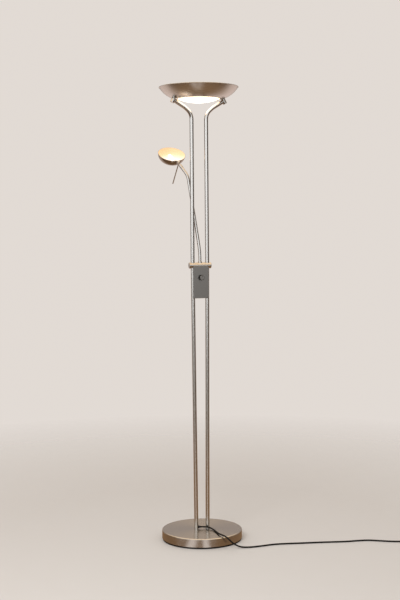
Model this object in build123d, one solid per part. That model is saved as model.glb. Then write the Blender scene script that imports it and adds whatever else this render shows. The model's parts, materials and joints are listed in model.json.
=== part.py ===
from build123d import *
import os
from math import acos, cos, pi, radians, sin, sqrt, tan

# A torchiere floor lamp: a round weighted base, two slim poles that spread and carry an uplight
# bowl, a bridge bar with a dimmer box, and a reading light on a swivelling arm.
# Millimetres. The origin is the centre of the base on the floor, +Z is up, the poles stand on the
# X axis and the dimmer knob faces -Y.

# Base
BASE_RADIUS = 159.0
BASE_HEIGHT = 39.0
COVER_BOTTOM = 6.5
COVER_WALL = 1.2
COVER_EDGE = 3.5
TRAY_RADIUS = 156.5
TRAY_FLOOR = 2.5
TRAY_RIM_TOP = 7.5
TRAY_RIM_WALL = 6.0
WEIGHT_RADIUS = 149.5
WEIGHT_TOP = 16.5
BOSS_RADIUS = 20.0
BOLT_POCKET_RADIUS = 12.0
BOLT_POCKET_TOP = 12.0
BOLT_RADIUS = 2.95
BOLT_TOP = 62.0
BOLT_FLATS = 10.0
BOLT_HEAD = 4.0
WASHER_THICKNESS = 1.6

# Poles
POLE_RADIUS = 8.0
POLE_WALL = 1.2
POLE_BORE = POLE_RADIUS - POLE_WALL
FOOT_X = 23.5
POLE_X = 30.5
JOINER_HALF = 29.0
JOINER_RADIUS = 6.55
JOINER_BORE = 4.0
FOOT_PLUG_TOP = 66.0

# Bridge bar
BRIDGE_Z = 1089.0
BRIDGE_RADIUS = 12.0
BRIDGE_HALF = 45.5
BRIDGE_SEAT_TOP = 1098.0
BRIDGE_FLAT = 1078.0
SWIVEL_POCKET_RADIUS = 8.5
SWIVEL_POCKET_TOP = 1087.0
SET_SCREW_OFFSET = 5.0
SET_SCREW_RADIUS = 1.95

# Dimmer box
PLATE_WIDTH = 65.0
PLATE_BOTTOM = 958.5
PLATE_TOP = 1087.5
PLATE_FRONT = -13.6
PLATE_BACK = -12.0
PLATE_TOP_CORNER = 8.0
PLATE_FOOT_CORNER = 3.0
LIP_DEPTH = 3.0
LIP_WALL = 1.2
LIP_TOP = 1074.0
HOUSING_WIDTH = 42.0
HOUSING_BACK = 17.0
HOUSING_BOTTOM = 962.0
HOUSING_WALL = 1.6
POST_RADIUS = 3.2
POST_PLACES = [(-16.0, 970.0), (16.0, 970.0), (-16.0, 1068.0), (16.0, 1068.0)]
HANGER_X = 14.5
KNOB_Z = 1041.0
KNOB_RADIUS = 10.5
KNOB_BACK = -14.4
KNOB_FRONT = -27.5
KNOB_SHAFT = 3.0

# Uplight bowl: its wall is one arc turned about the lamp's axis
RIM_HEIGHT = 1801.0
BOWL_ARC = 104.3
BOWL_ARC_R = 69.7
BOWL_ARC_Z = RIM_HEIGHT + 53.9
BOWL_WALL = 1.2
BOWL_FLOOR = 1753.0
BOWL_FLOOR_R = 92.0
BOWL_MOUTH = 84.0
RIM_BEAD = 1.4
GLASS_SAG = 16.0
GLASS_THICK = 3.5
GLASS_FLANGE = 91.0
CLIP_ANGLES = [22.0, 158.0, 202.0, 338.0]
CLIP_SCREW_R = 97.0

# Studs that carry the bowl, and the bends of the poles up to them
STUD_X = 106.0
STUD_Z = 1748.0
STUD_TILT = 27.0
STUD_RADIUS = 8.5
STUD_FOOT = 12.5
LOWER_BEND = (POLE_X, 1690.4)
UPPER_BEND = (53.0, 1715.6)
BEND_RADII = [48.0, 100.0]
BRACKET_SEAT = 16.5
BRACKET_THICK = 1.5
BRACKET_WIDTH = 16.0
BRACKET_Z = 1759.0
BRACKET_HALF = 90.8
BRACKET_PAD = 20.0
LAMP_Z = 1776.0
LAMP_HALF = 58.5

# Reading arm
ARM_RADIUS = 6.0
ARM_BORE = 5.0
ARM_AZIMUTH = 140.0
ARM_START = 1099.0
ARM_LOW_BEND = (0.0, 1145.0)
ARM_HIGH_BEND = (49.7, 1448.0)
ARM_BEND_RADII = [400.0, 70.0]
ARM_END_LEAN = 37.5
PIVOT_REACH = 67.2
ARM_TUBE_REACH = 42.0
STUD_END = 12.0
GROOVE_LOW = ARM_TUBE_REACH + 5.0
GROOVE_HIGH = ARM_TUBE_REACH + 8.0
STEM_RADIUS = 4.95
STEM_BORE = 3.0

# Reading head
SHADE_DEPTH = 41.0
SHADE_CROWN = 69.0
SHADE_SIDE = 36.2
SHADE_KNEE = 35.0
SHADE_WALL = 1.0
SHADE_OUT = 61.0
SHADE_UP = 4.0
SHADE_FACES = Vector(-0.02, -0.55, 0.83).normalized()
SHADE_REACHES = Vector(-0.22, 0.82, 0.53)
TILT_PIN = Vector(0.88, 0.31, 0.36)
HANDLE_POINTS = Vector(-0.09, 0.62, -0.87).normalized()
HANDLE_LENGTH = 94.5
HANDLE_RADIUS = 2.25
SPIGOT_RADIUS = 1.4
SPIGOT_GAP = 0.12
CHEEK_RADIUS = 6.5
CHEEK_THICK = 4.0
NECK_LENGTH = 10.5
NECK_WIDTH = 9.0
JOINT_GAP = 0.15
BULB_DEPTH = 14.0

# Leads inside the tubes
LEAD_RADIUS = 1.45
MAINS_LEAD_OFFSET = 5.2
MAINS_LEAD_Z = 985.0
UPLIGHT_LEAD_Z = 1056.0

# Mains cord
CORD_RADIUS = 3.0
GROMMET_Z = 47.5
GROMMET_REACH = 18.0
CORD_TURN = 18.0
CORD_FIRST_RUN = 17.0
COIL_RADIUS = 33.0
COIL_HALF_WIDTH = 6.5
COIL_BOTTOM = 1.0
COIL_TOP = 13.0
PLUG_RELIEF = 22.0
PLUG_GRIP = 30.0
PLUG_NOSE = 6.0
PLUG_THICK = 13.6
PIN_X = 9.3

SIDES = {"left": -1.0, "right": 1.0}
BOTTOM = (Align.CENTER, Align.CENTER, Align.MIN)


# ---------------------------------------------------------------- helpers
def disc(radius, z_low, z_high, x=0.0, y=0.0):
    """A round solid standing on the plane z_low."""
    return Pos(x, y, z_low) * Cylinder(radius, z_high - z_low, align=BOTTOM)


def ring(outer, inner, z_low, z_high, x=0.0, y=0.0):
    """A flat ring with a square section."""
    return disc(outer, z_low, z_high, x, y) - disc(inner, z_low - 1, z_high + 1, x, y)


def rod(start, end, radius, bore=0.0):
    """A round bar, or a tube when it has a bore, from one point to another."""
    first = Vector(*start)
    along = Vector(*end) - first
    place = Plane(origin=first, z_dir=along).location
    solid = place * Cylinder(radius, along.length, align=BOTTOM)
    if bore > 0.0:
        solid -= place * Pos(0, 0, -1) * Cylinder(bore, along.length + 2, align=BOTTOM)
    return solid


def hexagon(flats, start, end, bore=0.0):
    """A hexagonal nut or bolt head from one point to another."""
    first = Vector(*start)
    along = Vector(*end) - first
    plane = Plane(origin=first, z_dir=along)
    section = RegularPolygon(flats / 2, 6, major_radius=False)
    if bore > 0.0:
        section -= Circle(bore)
    return extrude(plane * section, along.length)


def sweep_round(path, radius, bore=0.0):
    """A round tube or bar along a path."""
    section = Circle(radius)
    if bore > 0.0:
        section -= Circle(bore)
    return sweep(Plane(origin=path @ 0, z_dir=path % 0) * section, path=path)


def turned(*edges):
    """The solid turned about the lamp's axis from a closed outline in the XZ plane."""
    return revolve(Plane.XZ * make_face(edges), axis=Axis.Z)


def box(x, y, z):
    """A box given by its low and high values along each axis."""
    centre = [(low + high) / 2 for low, high in (x, y, z)]
    return Pos(*centre) * Box(x[1] - x[0], y[1] - y[0], z[1] - z[0])


def pair(make):
    """The left and the right copy of a piece, as separate solids of one group."""
    return Compound(children=[make(side) for side in SIDES.values()])


def group(pieces):
    """Separate solids that share a node."""
    return Compound(children=list(pieces))


def pole_x(z):
    """How far the axis of a lower pole stands from the lamp's axis at a height."""
    share = (z - BASE_HEIGHT) / (BRIDGE_Z - BASE_HEIGHT)
    return FOOT_X + (POLE_X - FOOT_X) * share


# ---------------------------------------------------------------- mains cord
def cord_direction():
    """The cord leaves the left pole sideways, a little towards the front."""
    return Vector(cos(radians(CORD_TURN)), -sin(radians(CORD_TURN)), 0)


def from_room(x, y, z):
    """A point given along and across the line of the cord's exit, in the lamp's frame."""
    along = cord_direction()
    across = Vector(-along.Y, along.X, 0)
    return along * x + across * y + Vector(0, 0, z)


def cord_exit():
    """Where the cord leaves its grommet."""
    return Vector(-FOOT_X, 0, GROMMET_Z) + cord_direction() * GROMMET_REACH


# The cord's way from the grommet over the base and along the floor, chosen by hand: distance
# along the exit's direction, distance to the left of it, height.
CORD_ROUTE = [
    (31.5, -13.5, 45.2),
    (47.5, -33.0, 42.8),
    (57.5, -60.0, 42.3),
    (64.0, -90.0, 42.9),
    (74.5, -120.0, 49.2),
    (97.0, -146.5, 49.0),
    (124.0, -158.0, 25.5),
    (154.0, -155.5, 5.3),
    (190.0, -149.0, 3.1),
    (233.0, -127.0, 3.1),
    (280.0, -106.0, 3.1),
    (332.0, -98.0, 3.1),
    (390.0, -93.0, 3.1),
    (450.0, -85.0, 3.1),
    (510.0, -80.0, 3.1),
    (566.0, -76.0, 3.1),
    (614.0, -64.0, 3.1),
    (656.0, -58.0, 3.1),
    (700.0, -69.0, 3.1),
    (745.0, -80.0, 3.1),
    (796.0, -81.0, 3.1),
    (842.0, -74.0, 3.1),
    (868.0, -71.5, 3.1),
]
COIL_CENTRE = (872.0, -36.0)
PLUG_START = (908.0, -28.0)


def cord_radii(points):
    """The largest arc that the runs beside each corner leave room for."""
    radii = []
    for before, corner, after in zip(points, points[1:], points[2:]):
        turn = (corner - before).get_angle(after - corner)
        shorter = min((corner - before).length, (after - corner).length)
        radii.append(0.45 * shorter / tan(radians(turn / 2)))
    return radii


def cord():
    """The free stretch of the cord, from the grommet to the coil."""
    exit_point = cord_exit()
    straight = exit_point + cord_direction() * CORD_FIRST_RUN
    points = [exit_point, straight] + [from_room(*point) for point in CORD_ROUTE]
    radii = cord_radii(points)
    print("cord radii", [round(radius) for radius in radii])
    path = FilletPolyline(*points, radius=radii)
    tube = sweep_round(path, CORD_RADIUS)
    section = pi * CORD_RADIUS**2
    print("cord length", round(path.length), "volume over section", round(tube.volume / section))
    centre = from_room(*COIL_CENTRE, 0)
    return tube - disc(COIL_RADIUS + COIL_HALF_WIDTH, -5, 30, centre.X, centre.Y)


def cord_coil():
    """The outer shape of the spare cord, wound in a flat round coil."""
    centre = from_room(*COIL_CENTRE, 0)
    outer = COIL_RADIUS + COIL_HALF_WIDTH
    inner = COIL_RADIUS - COIL_HALF_WIDTH
    return ring(outer, inner, COIL_BOTTOM, COIL_TOP, centre.X, centre.Y)


def cord_tie():
    """A strap that holds the turns of the coil together."""
    centre = from_room(*COIL_CENTRE, 0)
    strap = 1.0
    gap = 0.02
    half = COIL_HALF_WIDTH + gap
    low, high = COIL_BOTTOM - gap, COIL_TOP + gap
    loop = ring(COIL_RADIUS + half + strap, COIL_RADIUS - half - strap, low - 0.9, high + strap)
    loop -= ring(COIL_RADIUS + half, COIL_RADIUS - half, low, high)
    loop &= Pos(COIL_RADIUS, 0, 0) * Box(30, 9, 60)
    place = Pos(centre.X, centre.Y, 0) * Rot(0, 0, 150)
    return place * loop


def plug_frame():
    """The plug's own place: it lies on the floor beside the coil, pins away from the coil."""
    start = from_room(*PLUG_START, PLUG_THICK / 2 + 0.2)
    across = Vector(sin(radians(CORD_TURN)), cos(radians(CORD_TURN)), 0)
    return Plane(origin=start, x_dir=Vector(across.Y, -across.X, 0), z_dir=across).location


def plug_body():
    """A flat two-pin plug with its moulded strain relief."""
    corner = 5.0
    relief = Cone(CORD_RADIUS + 0.3, 5.5, PLUG_RELIEF, align=BOTTOM)
    grip = Pos(0, 0, PLUG_RELIEF) * Box(26, PLUG_THICK, PLUG_GRIP, align=BOTTOM)
    grip = fillet(grip.edges().filter_by(Axis.Z), corner)
    grip = chamfer(grip.faces().sort_by(Axis.Z)[0].edges(), 2.0)
    nose = Pos(0, 0, PLUG_RELIEF + PLUG_GRIP) * Box(32, PLUG_THICK, PLUG_NOSE, align=BOTTOM)
    nose = fillet(nose.edges().filter_by(Axis.Z), corner)
    centre = from_room(*COIL_CENTRE, 0)
    clear = disc(COIL_RADIUS + COIL_HALF_WIDTH, -5, 30, centre.X, centre.Y)
    return plug_frame() * (relief + grip + nose) - clear


def plug_pins():
    """Two round contact pins with rounded tips."""
    pins = []
    face = PLUG_RELIEF + PLUG_GRIP + PLUG_NOSE
    for x in (-PIN_X, PIN_X):
        pin = Pos(x, 0, face) * Cylinder(2.0, 19, align=BOTTOM)
        pin = fillet(pin.faces().sort_by(Axis.Z)[-1].edges(), 1.6)
        pins.append(plug_frame() * pin)
    return group(pins)


def cord_grommet():
    """The rubber bush in the foot of the left pole, with a short tapered strain relief."""
    along = cord_direction()
    centre = Vector(-FOOT_X, 0, GROMMET_Z)
    flange_end = POLE_RADIUS + 2.5
    collar = rod(centre + along * (POLE_BORE - 0.1), centre + along * flange_end, 3.95)
    flange = rod(centre + along * (POLE_RADIUS - 2.0), centre + along * flange_end, 5.5)
    flange -= pole_segment(-1.0, BASE_HEIGHT - 5, 90, POLE_RADIUS)
    place = Plane(origin=centre + along * flange_end, z_dir=along).location
    taper = place * Cone(4.6, CORD_RADIUS + 0.3, GROMMET_REACH - flange_end, align=BOTTOM)
    return collar + flange + taper


# ---------------------------------------------------------------- base and poles
def pole_segment(side, z_low, z_high, radius, bore=0.0):
    """A stretch of a lower pole's axis as a bar or tube."""
    low = (side * pole_x(z_low), 0, z_low)
    high = (side * pole_x(z_high), 0, z_high)
    return rod(low, high, radius, bore)


def base_tray():
    """The black underside that the lamp stands on, with access holes for the pole bolts."""
    tray = disc(TRAY_RADIUS, 0, TRAY_FLOOR)
    tray += ring(TRAY_RADIUS, TRAY_RADIUS - TRAY_RIM_WALL, 0, TRAY_RIM_TOP)
    for side in SIDES.values():
        tray -= disc(BOLT_POCKET_RADIUS, -1, TRAY_FLOOR + 1, side * FOOT_X)
    return tray


def base_weight():
    """The cast iron weight, with a boss under each pole."""
    weight = disc(WEIGHT_RADIUS, TRAY_FLOOR, WEIGHT_TOP)
    weight = chamfer(weight.edges().group_by(Axis.Z)[-1], 1.5)
    for side in SIDES.values():
        weight += disc(BOSS_RADIUS, WEIGHT_TOP - 1, BASE_HEIGHT - COVER_WALL, side * FOOT_X)
    for side in SIDES.values():
        weight -= disc(BOLT_RADIUS + 0.3, 0, BASE_HEIGHT, side * FOOT_X)
        weight -= disc(BOLT_POCKET_RADIUS, 0, BOLT_POCKET_TOP, side * FOOT_X)
    return weight


def base_cover():
    """The pressed steel cover with a rounded edge."""
    outside = disc(BASE_RADIUS, COVER_BOTTOM, BASE_HEIGHT)
    outside = fillet(outside.edges().group_by(Axis.Z)[-1], COVER_EDGE)
    inside = disc(BASE_RADIUS - COVER_WALL, COVER_BOTTOM - 1, BASE_HEIGHT - COVER_WALL)
    inside = fillet(inside.edges().group_by(Axis.Z)[-1], COVER_EDGE - COVER_WALL)
    cover = outside - inside
    for side in SIDES.values():
        cover -= disc(BOLT_RADIUS + 0.3, 0, BASE_HEIGHT + 1, side * FOOT_X)
    return cover


def base_bolt(side):
    """A hexagon bolt from under the weight into the plug of a pole."""
    x = side * FOOT_X
    seat = BOLT_POCKET_TOP - WASHER_THICKNESS
    head = hexagon(BOLT_FLATS, (x, 0, seat - BOLT_HEAD), (x, 0, seat))
    return head + disc(BOLT_RADIUS, seat - 0.5, BOLT_TOP, x)


def base_washer(side):
    """The washer under a base bolt's head."""
    low = BOLT_POCKET_TOP - WASHER_THICKNESS
    return ring(9.0, BOLT_RADIUS + 0.2, low, BOLT_POCKET_TOP, side * FOOT_X)


def foot_plug(side):
    """The threaded plug in the foot of a pole, grooved to let the lead pass."""
    plug = pole_segment(side, BASE_HEIGHT - 2, FOOT_PLUG_TOP, POLE_BORE - 0.05)
    plug -= disc(20, 0, BASE_HEIGHT, side * FOOT_X)
    plug -= disc(BOLT_RADIUS + 0.05, 0, FOOT_PLUG_TOP + 2, side * FOOT_X)
    groove = Pos(POLE_BORE, 0, 0) * Box(6.6, 4.2, 60, align=BOTTOM)
    plug -= Pos(side * FOOT_X, 0, BASE_HEIGHT - 10) * Rot(0, 0, -CORD_TURN) * groove
    entry = Vector(side * FOOT_X, 0, GROMMET_Z)
    return plug - rod(entry + cord_direction() * 5.0, entry + cord_direction() * 9.0, 4.2)


def lead_offset():
    """Where the mains lead runs inside the left pole, off the pole's axis."""
    return cord_direction() * MAINS_LEAD_OFFSET


def lower_tube(side):
    """A lower pole, leaning out from the base to the bridge bar."""
    tube = pole_segment(side, BASE_HEIGHT - 4, BRIDGE_Z - 0.5, POLE_RADIUS, POLE_BORE)
    tube -= disc(20, 0, BASE_HEIGHT, side * FOOT_X)
    if side < 0:
        foot = Vector(-FOOT_X, 0, GROMMET_Z)
        tube -= rod(foot, foot + cord_direction() * 12, 4.0)
        axis = Vector(-pole_x(MAINS_LEAD_Z), lead_offset().Y, MAINS_LEAD_Z - 1.2)
        tube -= rod(axis, axis + Vector(12, 0, 0), 3.4)
    else:
        axis = Vector(pole_x(UPLIGHT_LEAD_Z), 0, UPLIGHT_LEAD_Z)
        tube -= rod(axis, axis - Vector(12, 0, 0), LEAD_RADIUS + 0.6)
    return tube


def pole_joiner(side):
    """The hollow spigot that joins a lower and an upper pole inside the bridge bar."""
    low, top = BRIDGE_Z - JOINER_HALF, BRIDGE_Z + JOINER_HALF
    return ring(JOINER_RADIUS, JOINER_BORE, low, top, side * POLE_X)


def stud_axis():
    """The direction of the right stud, up towards the bowl."""
    return Vector(-sin(radians(STUD_TILT)), 0, cos(radians(STUD_TILT)))


def on_stud(side, along):
    """A point on the axis of a stud."""
    point = Vector(STUD_X, 0, STUD_Z) + stud_axis() * along
    return Vector(side * point.X, 0, point.Z)


def upper_path(side, start, reach=0.0):
    """The centreline of an upper pole, from a height to the stud, less a reach."""
    last = Vector(STUD_X, 0, STUD_Z)
    bend = Vector(UPPER_BEND[0], 0, UPPER_BEND[1])
    last = last - (last - bend).normalized() * reach
    points = [(POLE_X, 0, start), (LOWER_BEND[0], 0, LOWER_BEND[1]), tuple(bend), tuple(last)]
    return FilletPolyline(*[(side * x, y, z) for x, y, z in points], radius=BEND_RADII)


def upper_tube(side):
    """An upper pole: straight up, then bent out to the side of its stud."""
    tube = sweep_round(upper_path(side, BRIDGE_Z + 0.5), POLE_RADIUS, POLE_BORE)
    return tube - rod(on_stud(side, -30), on_stud(side, 30), STUD_RADIUS)


# ---------------------------------------------------------------- bridge bar and dimmer box
def bridge_bar():
    """The cross bar that the poles pass through and the reading arm turns in."""
    half = Vector(BRIDGE_HALF, 0, 0)
    middle = Vector(0, 0, BRIDGE_Z)
    bar = rod(middle - half, middle + half, BRIDGE_RADIUS)
    bar = chamfer(bar.faces().filter_by(GeomType.PLANE).edges(), 1.0)
    fit = 0.05
    for side in SIDES.values():
        bar -= disc(POLE_RADIUS + 0.15, BRIDGE_Z - 20, BRIDGE_Z + 20, side * POLE_X)
        for z in (BRIDGE_Z - SET_SCREW_OFFSET, BRIDGE_Z + SET_SCREW_OFFSET):
            bar -= rod((side * POLE_X, 5, z), (side * POLE_X, 14, z), SET_SCREW_RADIUS + fit)
        bar -= disc(2.0, BRIDGE_FLAT - 5, BRIDGE_FLAT + 9, side * HANGER_X)
    bar -= disc(STEM_RADIUS + 0.1, BRIDGE_Z - 20, BRIDGE_Z + 20)
    bar -= disc(SWIVEL_POCKET_RADIUS, BRIDGE_FLAT - 5, SWIVEL_POCKET_TOP)
    bar -= disc(SWIVEL_POCKET_RADIUS, BRIDGE_SEAT_TOP, BRIDGE_SEAT_TOP + 10)
    flat = (HOUSING_WIDTH + 0.2) / 2
    bar -= box((-flat, flat), (-15, 15), (BRIDGE_FLAT - 5, BRIDGE_FLAT))
    return bar


def bridge_set_screws():
    """Four grub screws at the back of the bridge bar, two on each pole."""
    screws = []
    for side in SIDES.values():
        for z in (BRIDGE_Z - SET_SCREW_OFFSET, BRIDGE_Z + SET_SCREW_OFFSET):
            x = side * POLE_X
            screw = rod((x, POLE_RADIUS + 0.1, z), (x, 10.5, z), SET_SCREW_RADIUS)
            screw -= hexagon(2.0, (x, 9.3, z), (x, 12, z))
            screws.append(screw)
    return group(screws)


def plate_outline(inset=0.0):
    """The outline of the front plate: large round corners above, small ones below."""
    width = PLATE_WIDTH - 2 * inset
    height = PLATE_TOP - PLATE_BOTTOM - 2 * inset
    outline = Rectangle(width, height)
    upper = outline.vertices().group_by(Axis.Y)[-1]
    outline = fillet(upper, PLATE_TOP_CORNER - inset)
    lower = outline.vertices().group_by(Axis.Y)[0]
    return fillet(lower, PLATE_FOOT_CORNER - inset)


def switch_cover():
    """The front plate of the dimmer box with its lip and the posts for its screws."""
    middle = (PLATE_BOTTOM + PLATE_TOP) / 2
    front = Plane(origin=(0, PLATE_FRONT, middle), x_dir=(1, 0, 0), z_dir=(0, -1, 0))
    plate = extrude(front * plate_outline(), PLATE_FRONT - PLATE_BACK)
    plate = fillet(plate.faces().sort_by(Axis.Y)[0].edges(), 1.0)
    back = Plane(origin=(0, PLATE_BACK, middle), x_dir=(1, 0, 0), z_dir=(0, -1, 0))
    lip = extrude(back * (plate_outline() - plate_outline(LIP_WALL)), -LIP_DEPTH)
    lip -= box((-40, 40), (PLATE_BACK - 0.1, 0), (LIP_TOP, PLATE_TOP + 5))
    cover = plate + lip
    wall = HOUSING_BACK - HOUSING_WALL
    for x, z in POST_PLACES:
        cover += rod((x, PLATE_BACK - 0.5, z), (x, wall, z), POST_RADIUS)
        cover -= rod((x, wall - 12, z), (x, wall + 1, z), 1.5)
    return cover - rod((0, -20, KNOB_Z), (0, PLATE_BACK + 1, KNOB_Z), 4.6)


def switch_housing():
    """The box between the poles that holds the dimmer, hung under the bridge bar."""
    half = HOUSING_WIDTH / 2
    wall = HOUSING_WALL
    body = box((-half, half), (PLATE_BACK, HOUSING_BACK), (HOUSING_BOTTOM, BRIDGE_FLAT))
    body = fillet(body.faces().sort_by(Axis.Y)[-1].edges(), 2.0)
    body -= box(
        (wall - half, half - wall),
        (PLATE_BACK - 1, HOUSING_BACK - wall),
        (HOUSING_BOTTOM + wall, BRIDGE_FLAT - wall),
    )
    body -= disc(9.0, BRIDGE_FLAT - 5, BRIDGE_FLAT + 5)
    for side in SIDES.values():
        body -= disc(2.2, BRIDGE_FLAT - 5, BRIDGE_FLAT + 5, side * HANGER_X)
    for x, z in POST_PLACES:
        body -= rod((x, HOUSING_BACK - 5, z), (x, HOUSING_BACK + 5, z), 1.7)
    y = lead_offset().Y
    body -= rod((-30, y, MAINS_LEAD_Z), (-half + 5, y, MAINS_LEAD_Z), LEAD_RADIUS + 0.6)
    body -= rod((30, 0, UPLIGHT_LEAD_Z), (half - 5, 0, UPLIGHT_LEAD_Z), LEAD_RADIUS + 0.6)
    return body


def cover_screws():
    """Four pan head screws through the back of the housing into the cover's posts."""
    screws = []
    for x, z in POST_PLACES:
        head = rod((x, HOUSING_BACK, z), (x, HOUSING_BACK + 1.8, z), 2.9)
        head = chamfer(head.faces().sort_by(Axis.Y)[-1].edges(), 0.6)
        slot = box((x - 2.2, x + 2.2), (HOUSING_BACK + 1.0, HOUSING_BACK + 3), (z - 0.3, z + 0.3))
        shank = rod((x, HOUSING_BACK - 11, z), (x, HOUSING_BACK + 0.5, z), 1.45)
        screws.append(head - slot + shank)
    return group(screws)


def housing_screw(side):
    """A screw from inside the housing up into the bridge bar."""
    x = side * HANGER_X
    inside = BRIDGE_FLAT - HOUSING_WALL
    return disc(3.4, inside - 2.2, inside, x) + disc(1.95, inside - 1, BRIDGE_FLAT + 8, x)


def dimmer_potentiometer():
    """The rotary regulator, with a threaded bush through the front plate."""
    body = box((-11, 11), (PLATE_BACK, 0), (KNOB_Z - 11, KNOB_Z + 11))
    body = chamfer(body.edges().filter_by(Axis.Y), 1.5)
    body += rod((0, PLATE_BACK + 1, KNOB_Z), (0, -19.0, KNOB_Z), 4.5)
    for x in (-5, 0, 5):
        body += box((x - 0.8, x + 0.8), (-2, 2.5), (KNOB_Z - 16, KNOB_Z - 10))
    return body - rod((0, -20, KNOB_Z), (0, -4, KNOB_Z), KNOB_SHAFT + 0.05)


def dimmer_bush_nut():
    """The nut that holds the regulator in the front plate, under the knob."""
    return hexagon(12.0, (0, PLATE_FRONT, KNOB_Z), (0, PLATE_FRONT - 2.4, KNOB_Z), 4.55)


def dimmer_shaft():
    """The turning shaft, with a flat where the knob grips it."""
    shaft = rod((0, -4.3, KNOB_Z), (0, -25.0, KNOB_Z), KNOB_SHAFT)
    return shaft - box((-4, 4), (-26, -20), (KNOB_Z + 1.9, KNOB_Z + 5))


def dimmer_knob():
    """The round knob, hollow at the back to clear the nut."""
    knob = rod((0, KNOB_BACK, KNOB_Z), (0, KNOB_FRONT, KNOB_Z), KNOB_RADIUS)
    knob = chamfer(knob.faces().sort_by(Axis.Y)[0].edges(), 0.8)
    knob -= rod((0, KNOB_BACK + 1, KNOB_Z), (0, KNOB_BACK - 5.0, KNOB_Z), 8.0)
    knob -= rod((0, KNOB_FRONT - 1, KNOB_Z), (0, KNOB_FRONT + 1.0, KNOB_Z), 9.0)
    bore = rod((0, -14, KNOB_Z), (0, -25.2, KNOB_Z), KNOB_SHAFT + 0.02)
    return knob - (bore - box((-4, 4), (-26, -20), (KNOB_Z + 1.92, KNOB_Z + 5)))


def knob_cap():
    """The metal disc let into the knob's face, with a raised pointer."""
    cap = rod((0, KNOB_FRONT + 1.0, KNOB_Z), (0, KNOB_FRONT - 0.2, KNOB_Z), 8.95)
    return chamfer(cap.faces().sort_by(Axis.Y)[0].edges(), 0.3)


def dimmer_board():
    """The dimmer's circuit board with its choke, capacitor and cooled triac."""
    low, face, back = 975, 11.4, 13.0
    board = box((-18, 18), (face, back), (low, low + 51))
    x, z = -7, low + 35
    choke = rod((x, face + 0.6, z), (x, 2.5, z), 8.0) - rod((x, back, z), (x, 2, z), 3.0)
    capacitor = box((6, 15), (3, face + 0.6), (low + 28, low + 43))
    triac = box((4, 14), (6.5, face + 0.6), (low + 4, low + 21))
    return board + choke + capacitor + triac + box((-14, 2), (9.5, face + 0.6), (low + 4, low + 15))


def terminal_block():
    """The connector between the mains lead and the dimmer."""
    block = box((-15.5, 2), (-7, 5), (976.5, 990.5))
    for x in (-11, -3.5):
        block -= rod((x, -8, 986.5), (x, -3, 986.5), 1.8)
        block -= rod((x, -8, 980.5), (x, -3, 980.5), 1.8)
    return block


# ---------------------------------------------------------------- leads inside the tubes
def mains_lead():
    """The inner lead from the grommet up the left pole to the terminal block."""
    shift = lead_offset()
    low = Vector(-pole_x(GROMMET_Z), 0, GROMMET_Z) + shift
    corner = Vector(-pole_x(MAINS_LEAD_Z), 0, MAINS_LEAD_Z) + shift
    path = FilletPolyline(low, corner, (-15.6, corner.Y, MAINS_LEAD_Z), radius=4.0)
    return sweep_round(path, LEAD_RADIUS)


def uplight_lead():
    """The lead from the dimmer up the right pole and through its stud into the bowl."""
    bend = Vector(UPPER_BEND[0], 0, UPPER_BEND[1])
    stud = Vector(STUD_X, 0, STUD_Z)
    points = [
        (13, 0, UPLIGHT_LEAD_Z),
        (POLE_X, 0, UPLIGHT_LEAD_Z),
        (LOWER_BEND[0], 0, LOWER_BEND[1]),
        tuple(bend),
        tuple(stud),
        tuple(on_stud(1, 31)),
    ]
    path = FilletPolyline(*points, radius=[5.5, *BEND_RADII, 4.0])
    return sweep_round(path, LEAD_RADIUS)


def reading_lead():
    """The lead inside the reading arm."""
    return sweep_round(arm_path(1081.0, ARM_TUBE_REACH - 15.5), LEAD_RADIUS)


# ---------------------------------------------------------------- uplight bowl
def bowl_z(radius, arc=BOWL_ARC):
    """The height of the bowl's wall at a distance from the lamp's axis."""
    return BOWL_ARC_Z - sqrt(arc**2 - (radius - BOWL_ARC_R) ** 2)


def bowl_r(z, arc=BOWL_ARC):
    """The distance of the bowl's wall from the lamp's axis at a height."""
    return BOWL_ARC_R + sqrt(arc**2 - (BOWL_ARC_Z - z) ** 2)


def bowl_space(arc, floor, top):
    """The round solid that fills the bowl up to a height, inside one face of its wall."""
    low_r = bowl_r(floor, arc)
    high_r = bowl_r(top, arc)
    middle_r = 0.45 * low_r + 0.55 * high_r
    wall = ThreePointArc((low_r, floor), (middle_r, bowl_z(middle_r, arc)), (high_r, top))
    rest = Polyline((high_r, top), (0, top), (0, floor), (low_r, floor))
    return turned(wall, rest)


def bowl_outside():
    """Everything inside the bowl's outer face."""
    return bowl_space(BOWL_ARC, BOWL_FLOOR, RIM_HEIGHT)


def bowl_inside():
    """Everything inside the bowl's inner face."""
    return bowl_space(BOWL_ARC - BOWL_WALL, BOWL_FLOOR + BOWL_WALL, RIM_HEIGHT + 5)


def uplight_bowl():
    """The spun steel bowl, open below for its glass, with a rolled rim."""
    bowl = bowl_outside() - bowl_inside()
    bowl -= disc(BOWL_MOUTH, BOWL_FLOOR - 5, BOWL_FLOOR + 5)
    rim_radius = bowl_r(RIM_HEIGHT) - BOWL_WALL / 2
    bowl += Pos(0, 0, RIM_HEIGHT - RIM_BEAD) * Torus(rim_radius, RIM_BEAD)
    for side in SIDES.values():
        bowl -= rod(on_stud(side, 0), on_stud(side, 25), 4.05)
    for angle in CLIP_ANGLES:
        bowl -= Rot(0, 0, angle) * disc(1.6, 1740, 1765, CLIP_SCREW_R)
    return bowl


def glass_diffuser():
    """The frosted glass dish that hangs in the bowl's mouth by its flange."""
    seat = BOWL_FLOOR + BOWL_WALL
    edge = BOWL_MOUTH - 0.4
    dish_radius = (edge**2 + GLASS_SAG**2) / (2 * GLASS_SAG)
    centre = Pos(0, 0, seat - GLASS_SAG + dish_radius)
    dish = centre * Sphere(dish_radius) & disc(edge, seat - GLASS_SAG - 1, seat + 0.5)
    glass = dish + disc(GLASS_FLANGE, seat, seat + GLASS_THICK)
    return glass - centre * Sphere(dish_radius - GLASS_THICK)


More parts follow.
